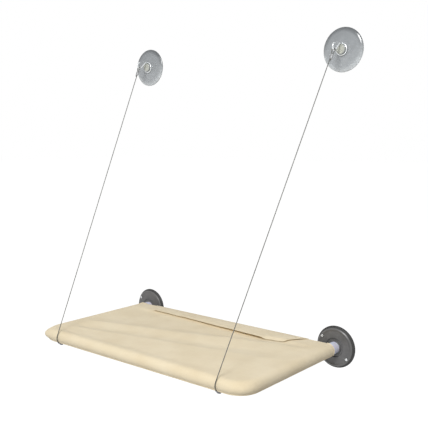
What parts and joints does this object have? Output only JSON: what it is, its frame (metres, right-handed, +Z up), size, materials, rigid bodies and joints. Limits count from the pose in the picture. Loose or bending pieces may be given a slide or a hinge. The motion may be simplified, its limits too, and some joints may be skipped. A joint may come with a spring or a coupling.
{
  "type": "window mounted cat perch",
  "caption": "Flat canvas covered pipe frame held on a window by dark suction cups behind and hung in front by steel cables from clear suction cups above.",
  "frame": {"origin": "on the window's glass, midway between the centres of the two lower cups", "axes": "+X to the right for someone in the room, +Y from the room into the window, +Z up"},
  "size_m": [0.538, 0.2918, 0.596],
  "materials": {
    "pad_rubber": "matt moulded",
    "flange_plastic": "satin moulded, dark grey",
    "plated_steel": "bright zinc plated",
    "plug_plastic": "satin moulded",
    "pvc_pipe": "semi-gloss extruded, white",
    "clear_cup": "clear flexible, glossy",
    "hook_steel": "bright plated wire",
    "wire_rope": "stranded, bright",
    "ferrule_metal": "crimped",
    "dark_steel": "dull zinc",
    "canvas": "plain weave cotton canvas",
    "hook_and_loop": "hook and loop tape"
  },
  "bodies": {
    "root": {"left_rear_tee": "pvc_pipe", "left_end_plug": "plug_plastic", "left_center_bolt": "plated_steel", "left_bolt_nut": "plated_steel", "left_side_rail": "pvc_pipe", "left_front_bend": "pvc_pipe", "left_cable_wrap": "wire_rope", "left_cable_lug": "dark_steel", "left_lug_screw": "dark_steel", "right_rear_tee": "pvc_pipe", "right_end_plug": "plug_plastic", "right_center_bolt": "plated_steel", "right_bolt_nut": "plated_steel", "right_side_rail": "pvc_pipe", "right_front_bend": "pvc_pipe", "right_cable_wrap": "wire_rope", "right_cable_lug": "dark_steel", "right_lug_screw": "dark_steel", "front_rail": "pvc_pipe", "rear_rail": "pvc_pipe", "cover": "canvas", "hook_strip": "hook_and_loop"},
    "rear_flap": {"rear_flap": "canvas", "loop_strip": "hook_and_loop"},
    "left_lower_cup": {"left_suction_pad": "pad_rubber", "left_flange": "flange_plastic", "left_flange_screws": "plated_steel"},
    "left_cable": {"left_cable": "wire_rope", "left_ferrule": "ferrule_metal"},
    "left_hook": {"left_hook": "hook_steel"},
    "left_upper_cup": {"left_upper_cup": "clear_cup"},
    "right_lower_cup": {"right_suction_pad": "pad_rubber", "right_flange": "flange_plastic", "right_flange_screws": "plated_steel"},
    "right_cable": {"right_cable": "wire_rope", "right_ferrule": "ferrule_metal"},
    "right_hook": {"right_hook": "hook_steel"},
    "right_upper_cup": {"right_upper_cup": "clear_cup"}
  },
  "joints": [
    {"name": "rear_flap_open", "type": "hinge", "parent": "root", "child": "rear_flap", "pos_m": [0, -0.02189, 0.01059], "axis": [-1, 0, 0], "range_deg": [0, 100]},
    {"name": "left_lower_cup_turn", "type": "hinge", "parent": "root", "child": "left_lower_cup", "pos_m": [-0.231, -0.006, 0], "axis": [0, 1, 0], "continuous": true},
    {"name": "left_cable_swing", "type": "hinge", "parent": "root", "child": "left_cable", "pos_m": [-0.1885, -0.28967, 0.00585], "axis": [1, 0, 0], "range_deg": [0, 120]},
    {"name": "left_hook_tilt", "type": "hinge", "parent": "left_cable", "child": "left_hook", "pos_m": [-0.231, -0.031, 0.522], "axis": [1, 0, 0], "range_deg": [0, 100]},
    {"name": "left_upper_cup_turn", "type": "hinge", "parent": "left_hook", "child": "left_upper_cup", "pos_m": [-0.231, -0.0073, 0.52], "axis": [0, 1, 0], "continuous": true},
    {"name": "right_lower_cup_turn", "type": "hinge", "parent": "root", "child": "right_lower_cup", "pos_m": [0.231, -0.006, 0], "axis": [0, 1, 0], "continuous": true},
    {"name": "right_cable_swing", "type": "hinge", "parent": "root", "child": "right_cable", "pos_m": [0.1885, -0.28967, 0.00585], "axis": [1, 0, 0], "range_deg": [0, 120]},
    {"name": "right_hook_tilt", "type": "hinge", "parent": "right_cable", "child": "right_hook", "pos_m": [0.231, -0.031, 0.522], "axis": [1, 0, 0], "range_deg": [0, 100]},
    {"name": "right_upper_cup_turn", "type": "hinge", "parent": "right_hook", "child": "right_upper_cup", "pos_m": [0.231, -0.0073, 0.52], "axis": [0, 1, 0], "continuous": true}
  ]
}
